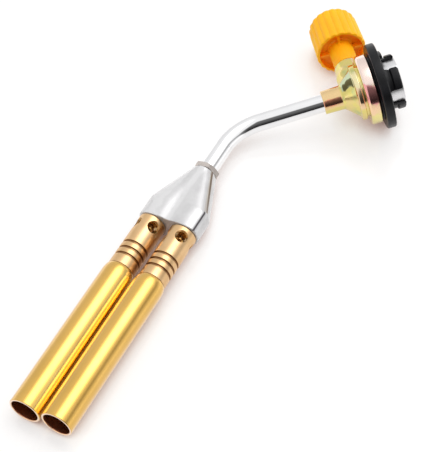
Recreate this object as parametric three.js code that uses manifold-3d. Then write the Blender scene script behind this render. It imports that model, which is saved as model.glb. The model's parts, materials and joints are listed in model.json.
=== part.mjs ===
// Twin-barrel gas torch head for a bayonet gas cartridge. Millimetres, lying at rest with +Z up.
//
// The torch is drawn in a bench frame: the coupling axis runs along +X towards the cartridge, the
// control knob stands along +Y, and the neck bends in the XY plane down to the two burners.
// At the end the whole torch is laid down on its flange rim, its knob and one burner mouth.
import * as THREE from 'three';
import { mergeVertices } from 'three/addons/utils/BufferGeometryUtils.js';
import Module from 'manifold-3d';

const wasm = await Module();
wasm.setup();

// ---- Driving dimensions ----
const GAP = 0.3; // clearance between pieces that touch
const ROUND = 32; // sides of a large turned piece
const SMALL_ROUND = 16; // sides of a small turned piece

// Coupling, stations along +X
const FLANGE_BACK = -1.5;
const FLANGE_RADIUS = 22.5;
const FLANGE_RIM_FACE = 3.2;
const FLANGE_HUB_RADIUS = 16.5;
const VALVE_RING_END = -2.6;
const STEP_RADIUS = 17.8;
const STEP_FACE = 3.8;
const STOP_LUG_FACE = 5.4;
const STOP_LUG_HALF_ANGLE = 0.48;
const STOP_LUG_CLOCKING = THREE.MathUtils.degToRad(-127);
const CLAW_END = 11;
const CLAW_COUNT = 4;
const CLAW_CLOCKING = THREE.MathUtils.degToRad(-3.5);
const CLAW_HALF_ANGLE = THREE.MathUtils.degToRad(25);
const CLAW_BORE = 12.3;
const CLAW_STEM_RADIUS = 13.2;
const CLAW_LIP_RADIUS = 14.3;
const CLAW_LIP_START = 6.8;
const SPIGOT_RADIUS = 10;
const SLEEVE_RADIUS = 12;
const SLEEVE_BORE = 9.3;
const SLEEVE_FLOOR = 4.8;
const SLEEVE_END = 11.3;
const SLEEVE_TAIL_RADIUS = 8.6;
const SLEEVE_TAIL_BORE = 7;
const SLEEVE_TAIL_END = -3;
const PROBE_TIP = 10.2;
const PROBE_RADIUS = 2;

// Valve body, stations along X
const SOCKET_FACE = -29.7;
const SOCKET_DEPTH = 9.6;
const SPINDLE_X = -11.3;
const OUTLET_Y = 3.4;
const SEAT_Y = 2.6;
const BOSS_TOP = 20;
const BOSS_RADIUS = 7.3;
const GLAND_NUT_START = 15.4;
const SPINDLE_BORE = 3.1;

// Knob and spindle, stations along +Y
const HUB_START = 20.5;
const HUB_RADIUS = 6.5;
const KNOB_START = 33.5;
const KNOB_FLOOR = 37;
const KNOB_END = 57;
const KNOB_RADIUS = 13.5;
const KNOB_END_RADIUS = 12.9;
const KNOB_WALL = 1.3;
const FLUTE_COUNT = 20;
const FLUTE_DEPTH = 0.55;
const SPINDLE_RADIUS = 2.3;
const SPINDLE_END = 46;

// Neck tube
const NECK_RADIUS = 4.8;
const NECK_BORE = 3.3;
const NECK_APEX_X = -77; // where the two straight runs would meet
const NECK_ANGLE = THREE.MathUtils.degToRad(50.4);
const NECK_BEND_RADIUS = 28;
const NECK_SIDES = 18;
const NECK_STEPS = 20;

// Burner pair, stations down the burner axis from the neck's apex
const BURNER_ROLL = THREE.MathUtils.degToRad(-8.1);
const LOCK_NUT_START = 30.2;
const LOCK_NUT_END = 33;
const LOCK_NUT_FLATS = 12.6;
const MANIFOLD_START = 33.3;
const MANIFOLD_SHOULDER = 59;
const MANIFOLD_END = 71;
const MANIFOLD_NECK_RADIUS = 6.6;
const MANIFOLD_LOBE_RADIUS = 7.9;
const MANIFOLD_WAIST = 1.3;
const NECK_END = 41;
const GALLERY = 51;
const BURNER_PITCH = 17.3;
const NIPPLE_RADIUS = 5.6;
const NIPPLE_START = 64.5;
const NIPPLE_POCKET = 61.7;
const JET_SEAT = NIPPLE_POCKET + GAP;
const MIXER_RADIUS = 7.2;
const MIXER_START = 71.3;
const MIXER_END = 112;
const MIXER_SIDES = 28;
const AIR_HOLE = 76.8;
const AIR_HOLE_RADIUS = 3.4;
const JET_TIP_RADIUS = 2.1;
const AIR_HOLE_CLOCKING = {
  left: THREE.MathUtils.degToRad(51),
  right: THREE.MathUtils.degToRad(65),
};
const GROOVES = [89.6, 93.5, 97.4];
const GROOVE_HALF_WIDTH = 0.65;
const GROOVE_DEPTH = 1;
const BARREL_START = 103.6;
const BARREL_SHOULDER = 107.6;
const BARREL_END = 191.3;
const BARREL_RADIUS = 8.1;
const BARREL_BORE = 6.9;
const SPIGOT_CLEARANCE = 0.25;

// ---- Materials ----
const metal = (color, roughness) => new THREE.MeshStandardMaterial({ color, roughness, metalness: 1 });
const plastic = (color, roughness) => new THREE.MeshStandardMaterial({ color, roughness, metalness: 0 });
const MATERIALS = {
  orange: () => plastic(0xff9a12, 0.45),
  black: () => plastic(0x17181a, 0.5),
  rubber: () => plastic(0x1c1c1c, 0.85),
  fibre: () => plastic(0x8a5a3c, 0.9),
  zinc: () => metal(0xd8c878, 0.32),
  nickel: () => metal(0xd9d9dc, 0.3),
  chrome: () => metal(0xe6e8ec, 0.1),
  aluminium: () => metal(0xc9ccd1, 0.35),
  steel: () => metal(0x9d9ea0, 0.4),
  bronze: () => metal(0xb08a52, 0.6),
  brass: () => metal(0xd9b877, 0.28),
  yellowBrass: () => metal(0xe0b64a, 0.22),
};

// ---- Shape helpers ----

/** A mesh with only merged positions, its faces pointing out. */
function closedMesh(geometry) {
  const bare = geometry.clone();
  bare.deleteAttribute('normal');
  bare.deleteAttribute('uv');
  const merged = mergeVertices(bare, 1e-4);
  const point = merged.attributes.position;
  const corners = Array.from(merged.index.array);
  const kept = [];
  let volume = 0;
  const a = new THREE.Vector3();
  const b = new THREE.Vector3();
  const c = new THREE.Vector3();
  for (let i = 0; i < corners.length; i += 3) {
    const [i0, i1, i2] = corners.slice(i, i + 3);
    if (i0 === i1 || i1 === i2 || i2 === i0) continue;
    a.fromBufferAttribute(point, i0);
    b.fromBufferAttribute(point, i1);
    c.fromBufferAttribute(point, i2);
    volume += a.dot(b.cross(c));
    kept.push([i0, i1, i2]);
  }
  const wound = volume < 0 ? kept.map(([p, q, r]) => [p, r, q]) : kept;
  merged.setIndex(wound.flat());
  return merged;
}

function toSolid(geometry) {
  const mesh = closedMesh(geometry);
  return new wasm.Manifold(new wasm.Mesh({
    numProp: 3,
    vertProperties: new Float32Array(mesh.attributes.position.array),
    triVerts: new Uint32Array(mesh.index.array),
  }));
}

function fromSolid(solid) {
  const mesh = solid.getMesh();
  const geometry = new THREE.BufferGeometry();
  geometry.setAttribute('position', new THREE.BufferAttribute(mesh.vertProperties, 3));
  geometry.setIndex(new THREE.BufferAttribute(mesh.triVerts, 1));
  return geometry;
}

const joined = (geometries) => fromSolid(geometries.map(toSolid).reduce((all, next) => all.add(next)));

function cut(geometry, tools) {
  return fromSolid(tools.map(toSolid).reduce((rest, tool) => rest.subtract(tool), toSolid(geometry)));
}

/** Turned piece about local Y from [station, radius] pairs; a tube's outline closes on itself. */
function turned(outline, sides = ROUND) {
  const points = outline.map(([station, radius]) => new THREE.Vector2(radius, station));
  const first = points[0];
  const last = points[points.length - 1];
  if (first.x > 0 || last.x > 0) points.push(first.clone());
  return new THREE.LatheGeometry(points, sides);
}

/** A plain washer or sleeve about local Y. */
function ring(start, end, bore, radius, sides = ROUND) {
  return turned([[start, bore], [start, radius], [end, radius], [end, bore]], sides);
}

/** A drilled hole's tool along local Y. */
function drill(start, end, radius, sides = SMALL_ROUND) {
  const tool = new THREE.CylinderGeometry(radius, radius, end - start, sides);
  return tool.translate(0, (start + end) / 2, 0);
}

function circlePath(radius, sides) {
  const points = [];
  for (let i = 0; i < sides; i += 1) {
    const angle = (i / sides) * 2 * Math.PI;
    points.push(new THREE.Vector2(radius * Math.cos(angle), radius * Math.sin(angle)));
  }
  return points;
}

/** Reshapes a unit cylinder: shapePoint(unitX, unitZ, fraction along it) gives each point. */
function reshapedCylinder(sides, rows, shapePoint) {
  const geometry = new THREE.CylinderGeometry(1, 1, 1, sides, rows);
  const point = geometry.attributes.position;
  for (let i = 0; i < point.count; i += 1) {
    const moved = shapePoint(point.getX(i), point.getZ(i), point.getY(i) + 0.5);
    point.setXYZ(i, moved.x, moved.y, moved.z);
  }
  return geometry;
}

// ---- Groups: the bench frame and the three working axes ----
const torch = new THREE.Group();
const couplingAxis = new THREE.Group(); // local Y runs to the cartridge
couplingAxis.rotation.z = -Math.PI / 2;
const spindleAxis = new THREE.Group(); // local Y runs out through the knob
spindleAxis.position.x = SPINDLE_X;
const burnerBend = new THREE.Group(); // local Y runs down the burners
burnerBend.position.x = NECK_APEX_X;
burnerBend.rotation.z = Math.PI / 2 + NECK_ANGLE;
const burnerAxis = new THREE.Group();
burnerAxis.rotation.y = BURNER_ROLL;
burnerBend.add(burnerAxis);
torch.add(couplingAxis, spindleAxis, burnerBend);

function place(parent, name, material, geometry, x = 0) {
  const mesh = new THREE.Mesh(closedMesh(geometry), MATERIALS[material]());
  mesh.name = name;
  mesh.position.x = x;
  parent.add(mesh);
  return mesh;
}

// ---- Coupling ----

/** Four wedges that open the gaps between the claws. */
function clawGaps() {
  const reach = CLAW_LIP_RADIUS + 2;
  const halfGap = Math.PI / CLAW_COUNT - CLAW_HALF_ANGLE;
  const wedge = new THREE.Shape([
    new THREE.Vector2(0, 0),
    new THREE.Vector2(reach, -reach * Math.tan(halfGap)),
    new THREE.Vector2(reach, reach * Math.tan(halfGap)),
  ]);
  const gaps = [];
  for (let i = 0; i < CLAW_COUNT; i += 1) {
    const gap = new THREE.ExtrudeGeometry(wedge, { depth: CLAW_END - STEP_FACE + 1, bevelEnabled: false });
    gap.rotateX(-Math.PI / 2).translate(0, STEP_FACE, 0);
    gap.rotateY(CLAW_CLOCKING + (i / CLAW_COUNT) * 2 * Math.PI);
    gaps.push(gap);
  }
  return gaps;
}

/** A short raised arc on the flange face that stops the twist. */
function stopLug() {
  const arc = new THREE.Shape();
  arc.absarc(0, 0, STEP_RADIUS - 0.2, -STOP_LUG_HALF_ANGLE, STOP_LUG_HALF_ANGLE, false);
  arc.absarc(0, 0, STEP_RADIUS - 2.6, STOP_LUG_HALF_ANGLE, -STOP_LUG_HALF_ANGLE, true);
  const depth = STOP_LUG_FACE - FLANGE_RIM_FACE + 0.5;
  const lug = new THREE.ExtrudeGeometry(arc, { depth, bevelEnabled: false, curveSegments: 5 });
  return lug.rotateX(-Math.PI / 2).translate(0, FLANGE_RIM_FACE - 0.5, 0).rotateY(STOP_LUG_CLOCKING);
}

function bayonetFlange() {
  const hubBack = VALVE_RING_END + GAP;
  const blank = turned([
    [hubBack, SPIGOT_RADIUS + GAP],
    [hubBack, FLANGE_HUB_RADIUS],
    [FLANGE_BACK, FLANGE_HUB_RADIUS],
    [FLANGE_BACK, FLANGE_RADIUS - 0.8],
    [FLANGE_BACK + 0.8, FLANGE_RADIUS],
    [FLANGE_RIM_FACE, FLANGE_RADIUS],
    [FLANGE_RIM_FACE, STEP_RADIUS],
    [STEP_FACE, STEP_RADIUS],
    [STEP_FACE, CLAW_STEM_RADIUS],
    [CLAW_LIP_START, CLAW_STEM_RADIUS],
    [CLAW_LIP_START, CLAW_LIP_RADIUS],
    [CLAW_END - 0.8, CLAW_LIP_RADIUS],
    [CLAW_END, CLAW_STEM_RADIUS],
    [CLAW_END, CLAW_BORE],
    [FLANGE_RIM_FACE, CLAW_BORE],
    [FLANGE_RIM_FACE, SPIGOT_RADIUS + GAP],
  ], 48);
  return joined([cut(blank, clawGaps()), stopLug()]);
}

function couplingSleeve() {
  const head = FLANGE_RIM_FACE + GAP;
  return turned([
    [SLEEVE_TAIL_END, SLEEVE_TAIL_BORE],
    [SLEEVE_TAIL_END, SLEEVE_TAIL_RADIUS],
    [head, SLEEVE_TAIL_RADIUS],
    [head, SLEEVE_RADIUS],
    [SLEEVE_END, SLEEVE_RADIUS],
    [SLEEVE_END, SLEEVE_BORE],
    [SLEEVE_FLOOR, SLEEVE_BORE],
    [SLEEVE_FLOOR, SLEEVE_TAIL_BORE],
  ]);
}

function inletProbe() {
  return turned([
    [-2.6, 0.6],
    [-2.6, 6.5],
    [-0.6, 6.5],
    [-0.6, 3.2],
    [1.2, 3.2],
    [1.8, PROBE_RADIUS],
    [PROBE_TIP - 1.2, PROBE_RADIUS],
    [PROBE_TIP, 1.2],
    [PROBE_TIP, 0.6],
  ], SMALL_ROUND);
}

function addCoupling() {
  place(couplingAxis, 'bayonet_flange', 'black', bayonetFlange());
  place(couplingAxis, 'coupling_sleeve', 'nickel', couplingSleeve());
  place(couplingAxis, 'inlet_probe', 'brass', inletProbe());
  place(couplingAxis, 'inlet_seal', 'rubber', ring(1.9, 4.6, PROBE_RADIUS + 0.2, 6.5, SMALL_ROUND));
  place(couplingAxis, 'inlet_filter', 'bronze', drill(-5, -2.9, 3.6));
}

// ---- Valve body ----
function valveBodyBlank() {
  const turnedBody = turned([
    [SOCKET_FACE, 0],
    [SOCKET_FACE, 5.9],
    [SOCKET_FACE + 0.3, 6.15],
    [-19.6, 6.35],
    [-12.6, 12.6],
    [-12.4, 14.5],
    [-9.9, 14.8],
    [-9.9, 13.4],
    [-8.5, 13.4],
    [-8.5, 17.4],
    [-7.6, 18.3],
    [VALVE_RING_END - 0.5, 18.3],
    [VALVE_RING_END, 17.8],
    [VALVE_RING_END, SPIGOT_RADIUS],
    [FLANGE_RIM_FACE, SPIGOT_RADIUS],
    [FLANGE_RIM_FACE, 0],
  ]);
  turnedBody.rotateZ(-Math.PI / 2);
  const boss = turned([
    [0, 0],
    [0, BOSS_RADIUS],
    [11, BOSS_RADIUS + 0.9],
    [14.5, BOSS_RADIUS + 0.2],
    [BOSS_TOP - 0.5, BOSS_RADIUS],
    [BOSS_TOP, BOSS_RADIUS - 0.5],
    [BOSS_TOP, 0],
  ], 24).translate(SPINDLE_X, 0, 0);
  return joined([turnedBody, boss]);
}

function valveBody() {
  const alongX = (start, end, radius, y = 0) => (
    drill(start, end, radius, 24).rotateZ(-Math.PI / 2).translate(0, y, 0)
  );
  const upward = (start, end, radius) => drill(start, end, radius).translate(SPINDLE_X, 0, 0);
  return cut(valveBodyBlank(), [
    alongX(SOCKET_FACE - 1, SOCKET_FACE + SOCKET_DEPTH, NECK_RADIUS + 0.15),
    alongX(SOCKET_FACE + SOCKET_DEPTH - 1, SPINDLE_X, 1.3, OUTLET_Y),
    alongX(SPINDLE_X, -5, 1.4),
    alongX(-5.3, -2, 3.9),
    alongX(SLEEVE_TAIL_END - GAP, FLANGE_RIM_FACE + 1, SLEEVE_TAIL_RADIUS + 0.2),
    upward(0, SEAT_Y + 1, 1.1),
    upward(SEAT_Y, BOSS_TOP, SPINDLE_BORE),
    upward(GLAND_NUT_START - GAP, BOSS_TOP + 1, 5.5),
  ]);
}

// ---- Neck ----

/** Centre line from the valve body's socket, round the bend, into the manifold. */
function neckPath() {
  const tangent = NECK_BEND_RADIUS * Math.tan(NECK_ANGLE / 2);
  const down = new THREE.Vector3(-Math.cos(NECK_ANGLE), -Math.sin(NECK_ANGLE), 0);
  const apex = new THREE.Vector3(NECK_APEX_X, 0, 0);
  const bendStart = new THREE.Vector3(NECK_APEX_X + tangent, 0, 0);
  const bendEnd = apex.clone().addScaledVector(down, tangent);
  const curve = new THREE.CurvePath();
  curve.add(new THREE.LineCurve3(new THREE.Vector3(SOCKET_FACE + SOCKET_DEPTH - GAP, 0, 0), bendStart));
  const centre = new THREE.Vector3(bendStart.x, -NECK_BEND_RADIUS, 0);
  const arc = new THREE.Curve();
  arc.getPoint = (t, target = new THREE.Vector3()) => {
    const angle = Math.PI / 2 + t * NECK_ANGLE;
    return target.set(
      centre.x + NECK_BEND_RADIUS * Math.cos(angle),
      centre.y + NECK_BEND_RADIUS * Math.sin(angle),
      0,
    );
  };
  curve.add(arc);
  curve.add(new THREE.LineCurve3(bendEnd, apex.clone().addScaledVector(down, NECK_END)));
  return curve;
}

function neckTube() {
  const section = new THREE.Shape(circlePath(NECK_RADIUS, NECK_SIDES));
  section.holes.push(new THREE.Path(circlePath(NECK_BORE, NECK_SIDES)));
  return new THREE.ExtrudeGeometry(section, {
    steps: NECK_STEPS,
    bevelEnabled: false,
    extrudePath: neckPath(),
  });
}

function lockNut() {
  const cornerRadius = LOCK_NUT_FLATS / Math.sqrt(3);
  const section = new THREE.Shape(circlePath(cornerRadius, 6));
  section.holes.push(new THREE.Path(circlePath(NECK_RADIUS + 0.15, SMALL_ROUND)));
  const nut = new THREE.ExtrudeGeometry(section, {
    depth: LOCK_NUT_END - LOCK_NUT_START,
    bevelEnabled: false,
  });
  return nut.rotateX(-Math.PI / 2).translate(0, LOCK_NUT_START, 0);
}

// ---- Manifold ----

/** Tapers from a round neck to two lobes side by side, with a shallow waist between them. */
function manifoldBlank() {
  const length = MANIFOLD_END - MANIFOLD_START;
  const taper = (MANIFOLD_SHOULDER - MANIFOLD_START) / length;
  return reshapedCylinder(40, 9, (unitX, unitZ, fraction) => {
    const spread = Math.min(fraction / taper, 1);
    const radius = THREE.MathUtils.lerp(MANIFOLD_NECK_RADIUS, MANIFOLD_LOBE_RADIUS, spread);
    const lobe = (BURNER_PITCH / 2) * spread * (Math.tanh(3.2 * unitX) / Math.tanh(3.2));
    const x = lobe + radius * unitX;
    const waist = MANIFOLD_WAIST * spread * Math.exp(-((x / 3.6) ** 2));
    const z = (radius - waist) * unitZ;
    return new THREE.Vector3(x, MANIFOLD_START + fraction * length, z);
  });
}

function manifold() {
  const half = BURNER_PITCH / 2;
  const gallery = drill(-half, half, 1.8).rotateZ(Math.PI / 2).translate(0, GALLERY, 0);
  const tools = [
    drill(MANIFOLD_START - 1, NECK_END + 1.8, NECK_RADIUS + 0.15),
    drill(NECK_END, GALLERY, 2),
    gallery,
  ];
  for (const x of [-half, half]) {
    tools.push(drill(GALLERY, NIPPLE_START, 1.8).translate(x, 0, 0));
    tools.push(drill(NIPPLE_POCKET, MANIFOLD_END + 1, NIPPLE_RADIUS + 0.15, 20).translate(x, 0, 0));
  }
  return cut(manifoldBlank(), tools);
}

// ---- Burners ----
function gasJet() {
  return turned([
    [JET_SEAT - 4, 0.5],
    [JET_SEAT - 4, 1.6],
    [JET_SEAT + 0.9, 1.6],
    [JET_SEAT + 0.9, 3.2],
    [JET_SEAT + 3.9, 3.2],
    [JET_SEAT + 4.4, JET_TIP_RADIUS],
    [AIR_HOLE - 1, JET_TIP_RADIUS],
    [AIR_HOLE, 0.9],
    [AIR_HOLE, 0.5],
  ], 12);
}

function mixingTube(clocking) {
  const outline = [
    [NIPPLE_START, 4.1],
    [NIPPLE_START, NIPPLE_RADIUS],
    [MIXER_START, NIPPLE_RADIUS],
    [MIXER_START, MIXER_RADIUS - 0.3],
    [MIXER_START + 0.3, MIXER_RADIUS],
  ];
  for (const station of GROOVES) {
    outline.push([station - GROOVE_HALF_WIDTH, MIXER_RADIUS]);
    outline.push([station - GROOVE_HALF_WIDTH, MIXER_RADIUS - GROOVE_DEPTH]);
    outline.push([station + GROOVE_HALF_WIDTH, MIXER_RADIUS - GROOVE_DEPTH]);
    outline.push([station + GROOVE_HALF_WIDTH, MIXER_RADIUS]);
  }
  outline.push(
    [BARREL_START - GAP, MIXER_RADIUS],
    [BARREL_START - GAP, BARREL_BORE - SPIGOT_CLEARANCE],
    [MIXER_END, BARREL_BORE - SPIGOT_CLEARANCE],
    [MIXER_END, 4.6],
    [AIR_HOLE + 10, 3.6],
    [AIR_HOLE + 5, 5.2],
    [AIR_HOLE - 5, 5.2],
    [AIR_HOLE - 6, 4.1],
  );
  const airHole = drill(3, MIXER_RADIUS + 1, AIR_HOLE_RADIUS, 16).rotateX(Math.PI / 2);
  const holes = [0, 1, 2, 3].map((quarter) => (
    airHole.clone().rotateY(clocking + (quarter * Math.PI) / 2).translate(0, AIR_HOLE, 0)
  ));
  return cut(turned(outline, MIXER_SIDES), holes);
}

function burnerBarrel() {
  return turned([
    [BARREL_START, BARREL_BORE],
    [BARREL_START, MIXER_RADIUS + 0.1],
    [BARREL_START + 1.6, BARREL_RADIUS - 0.35],
    [BARREL_SHOULDER, BARREL_RADIUS],
    [BARREL_END - 0.8, BARREL_RADIUS],
    [BARREL_END, BARREL_RADIUS - 0.35],
    [BARREL_END, BARREL_BORE + 0.2],
    [BARREL_END - 0.8, BARREL_BORE],
  ]);
}

function flameHolder() {
  const disc = drill(MIXER_END + 1, MIXER_END + 3, BARREL_BORE - 0.2, 20);
  const holes = [];
  for (let i = 0; i < 6; i += 1) {
    const angle = (i / 6) * 2 * Math.PI;
    const hole = drill(MIXER_END, MIXER_END + 4, 1.2, 8);
    holes.push(hole.translate(3.8 * Math.cos(angle), 0, 3.8 * Math.sin(angle)));
  }
  return cut(disc, holes);
}

function addBurner(side, x) {
  place(burnerAxis, `gas_jet_${side}`, 'brass', gasJet(), x);
  place(burnerAxis, `jet_washer_${side}`, 'fibre', ring(JET_SEAT, JET_SEAT + 0.7, 1.8, 3.2, 12), x);
  place(burnerAxis, `mixing_tube_${side}`, 'brass', mixingTube(AIR_HOLE_CLOCKING[side]), x);
  place(burnerAxis, `flame_holder_${side}`, 'steel', flameHolder(), x);
  place(burnerAxis, `burner_barrel_${side}`, 'yellowBrass', burnerBarrel(), x);
}

// ---- Spindle and knob ----
function valveSpindle() {
  return turned([
    [1.3, 0],
    [SEAT_Y + 0.1, 0.85],
    [SEAT_Y + 0.3, 1.7],
    [5.5, 1.7],
    [5.5, SPINDLE_BORE - 0.15],
    [9.5, SPINDLE_BORE - 0.15],
    [9.5, 1.6],
    [13.4, 1.6],
    [13.6, SPINDLE_RADIUS],
    [SPINDLE_END, SPINDLE_RADIUS],
    [SPINDLE_END, 0],
  ], SMALL_ROUND);
}

function spindleOring() {
  const points = [];
  for (let i = 0; i <= 8; i += 1) {
    const angle = (i / 8) * 2 * Math.PI;
    points.push(new THREE.Vector2(2.4 + 0.6 * Math.cos(angle), 11.5 + 0.6 * Math.sin(angle)));
  }
  return new THREE.LatheGeometry(points, SMALL_ROUND);
}

function glandNut() {
  return ring(GLAND_NUT_START, BOSS_TOP - 0.2, SPINDLE_RADIUS + 0.15, 5.3, SMALL_ROUND);
}

/** Fluted grip, tapering slightly to a rounded end. */
function knobGrip() {
  const length = KNOB_END - KNOB_START;
  const rounding = 0.12;
  return reshapedCylinder(FLUTE_COUNT * 4, 6, (unitX, unitZ, rowFraction) => {
    const fraction = 1 - (1 - rowFraction) ** 1.6; // closer rows at the rounded end
    const angle = Math.atan2(unitZ, unitX);
    const radial = Math.hypot(unitX, unitZ);
    const past = Math.max(0, (fraction - (1 - rounding)) / rounding);
    const shoulder = 1 - 0.2 * past ** 2;
    const straight = THREE.MathUtils.lerp(KNOB_RADIUS, KNOB_END_RADIUS, fraction) * shoulder;
    const flute = FLUTE_DEPTH * (0.5 - 0.5 * Math.cos(FLUTE_COUNT * angle)) * (1 - past);
    const radius = (straight - flute) * radial;
    const y = KNOB_START + fraction * length;
    return new THREE.Vector3(radius * Math.cos(angle), y, radius * Math.sin(angle));
  });
}

function knob() {
  const skirtBore = KNOB_RADIUS - FLUTE_DEPTH - KNOB_WALL;
  const recess = ring(KNOB_START - 1, KNOB_FLOOR, HUB_RADIUS, skirtBore);
  const hollow = cut(knobGrip(), [recess]);
  const hub = drill(HUB_START, KNOB_FLOOR + 1, HUB_RADIUS, ROUND);
  const web = new THREE.BoxGeometry(2 * (skirtBore + 0.5), KNOB_FLOOR + 1 - KNOB_START - 0.8, 1.5);
  web.translate(0, (KNOB_FLOOR + 1 + KNOB_START + 0.8) / 2, 0);
  const crossWeb = web.clone().rotateY(Math.PI / 2);
  const bore = drill(HUB_START - 1, SPINDLE_END + GAP, SPINDLE_RADIUS + 0.15);
  return cut(joined([hollow, hub, web, crossWeb]), [bore]);
}

// ---- Assembly ----
addCoupling();
place(torch, 'valve_body', 'zinc', valveBody());
place(torch, 'neck_tube', 'chrome', neckTube());
place(burnerBend, 'lock_nut', 'nickel', lockNut());
place(burnerBend, 'neck_seal', 'fibre', ring(NECK_END + 0.3, NECK_END + 1.5, 2.4, NECK_RADIUS, SMALL_ROUND));
place(burnerAxis, 'manifold', 'aluminium', manifold());
addBurner('left', BURNER_PITCH / 2);
addBurner('right', -BURNER_PITCH / 2);
place(spindleAxis, 'gland_nut', 'brass', glandNut());
place(spindleAxis, 'spindle_oring', 'rubber', spindleOring());
place(spindleAxis, 'valve_spindle', 'steel', valveSpindle());
place(spindleAxis, 'knob', 'orange', knob());

// ---- Lying at rest ----

/** The lowest point of a circle, for a given up direction. */
function lowestOfCircle(centre, axis, radius, up) {
  const uphill = up.clone().addScaledVector(axis, -up.dot(axis)).normalize();
  return centre.clone().addScaledVector(uphill, -radius);
}

/** The up direction when flange rim, knob and one burner mouth stand on a table. */
function restingUp(burnerDirection) {
  const alongX = new THREE.Vector3(1, 0, 0);
  const alongY = new THREE.Vector3(0, 1, 0);
  const flange = new THREE.Vector3(FLANGE_BACK + 1, 0, 0);
  const knobEnd = new THREE.Vector3(SPINDLE_X, KNOB_END - 3, 0);
  const mouth = burnerAxis.localToWorld(new THREE.Vector3(BURNER_PITCH / 2, BARREL_END - 0.8, 0));
  const up = new THREE.Vector3(0, 0, 1);
  for (let pass = 0; pass < 12; pass += 1) {
    const a = lowestOfCircle(flange, alongX, FLANGE_RADIUS, up);
    const b = lowestOfCircle(knobEnd, alongY, KNOB_END_RADIUS, up);
    const c = lowestOfCircle(mouth, burnerDirection, BARREL_RADIUS, up);
    up.crossVectors(b.sub(a), c.sub(a)).normalize();
  }
  return up;
}

/** Lays the torch down with the burners pointing to -X, centred over the origin. */
function layDown() {
  torch.updateMatrixWorld(true);
  const burnerDirection = new THREE.Vector3(-Math.cos(NECK_ANGLE), -Math.sin(NECK_ANGLE), 0);
  const up = restingUp(burnerDirection);
  const along = burnerDirection.clone().negate();
  along.addScaledVector(up, -along.dot(up)).normalize();
  const across = new THREE.Vector3().crossVectors(up, along);
  const benchAxes = new THREE.Matrix4().makeBasis(along, across, up);
  torch.quaternion.setFromRotationMatrix(benchAxes.transpose());
  torch.updateMatrixWorld(true);
  const box = new THREE.Box3().setFromObject(torch, true);
  const middle = box.getCenter(new THREE.Vector3());
  torch.position.set(-middle.x, -middle.y, -box.min.z);
  torch.updateMatrixWorld(true);
}

layDown();

export default torch;
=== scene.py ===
"""Twin-barrel gas torch head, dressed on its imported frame. Metres; outlines below are in millimetres."""
import json
import math

import bmesh
import bpy
from mathutils import Matrix, Vector


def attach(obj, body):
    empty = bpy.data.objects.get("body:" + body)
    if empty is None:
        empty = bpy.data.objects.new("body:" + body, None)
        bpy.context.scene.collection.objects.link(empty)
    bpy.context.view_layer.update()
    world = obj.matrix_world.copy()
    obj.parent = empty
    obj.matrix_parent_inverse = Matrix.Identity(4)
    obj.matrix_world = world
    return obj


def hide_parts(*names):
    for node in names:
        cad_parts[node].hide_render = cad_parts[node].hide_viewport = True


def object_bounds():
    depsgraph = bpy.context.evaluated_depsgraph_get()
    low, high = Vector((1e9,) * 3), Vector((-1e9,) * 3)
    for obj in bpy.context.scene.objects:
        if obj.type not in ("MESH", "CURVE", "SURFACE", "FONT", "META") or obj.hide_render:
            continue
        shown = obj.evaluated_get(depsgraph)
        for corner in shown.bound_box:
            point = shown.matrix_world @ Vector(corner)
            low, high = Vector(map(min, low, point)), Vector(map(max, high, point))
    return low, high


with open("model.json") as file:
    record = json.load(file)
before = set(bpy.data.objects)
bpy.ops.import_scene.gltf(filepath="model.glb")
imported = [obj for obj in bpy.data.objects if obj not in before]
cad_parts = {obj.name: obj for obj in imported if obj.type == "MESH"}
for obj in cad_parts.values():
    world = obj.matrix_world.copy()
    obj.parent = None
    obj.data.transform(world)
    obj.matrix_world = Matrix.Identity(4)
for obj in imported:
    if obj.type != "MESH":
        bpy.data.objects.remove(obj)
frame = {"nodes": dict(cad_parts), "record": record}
cad_low, cad_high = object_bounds()
record = frame["record"]
MM = 0.001

# ---- The torch's own axes, read from the record ----
SPINDLE_X = -11.3  # station of the knob's axis along the coupling axis
NECK_APEX_X = -77
NECK_ANGLE = math.radians(50.4)
BURNER_ROLL = math.radians(-8.1)
BURNER_PITCH = 17.3

knob_joint = next(j for j in record["behaviour"]["joints"] if j["name"] == "knob_turn")
flange_mount = next(m for m in record["mounts"] if m["name"] == "cartridge_flange")
ALONG = Vector(flange_mount["axis"]).normalized()  # towards the cartridge
OUT = Vector(knob_joint["axis"]).normalized()  # out through the knob
SIDE = ALONG.cross(OUT)
ORIGIN = Vector(knob_joint["pos_m"]) - SPINDLE_X * MM * ALONG
BODY_OF = {n: body for body, nodes in record["behaviour"]["bodies"].items() for n in nodes}


def bench(x, y, z):
    """A direction in the row frame, from the torch's own axes."""
    return ALONG * x + OUT * y + SIDE * z


def working_frame(z_axis, x_axis, station):
    """Local millimetres to row metres: local Z runs down the axis from a bench point."""
    y_axis = z_axis.cross(x_axis)
    place = Matrix.Translation(ORIGIN + MM * bench(*station))
    turn = Matrix((x_axis, y_axis, z_axis)).transposed().to_4x4()
    return place @ turn @ Matrix.Scale(MM, 4)


BURNER_DOWN = bench(-math.cos(NECK_ANGLE), -math.sin(NECK_ANGLE), 0)
BEND_ACROSS = bench(-math.sin(NECK_ANGLE), math.cos(NECK_ANGLE), 0)
BURNER_UP = BEND_ACROSS * math.sin(BURNER_ROLL) + SIDE * math.cos(BURNER_ROLL)

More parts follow.
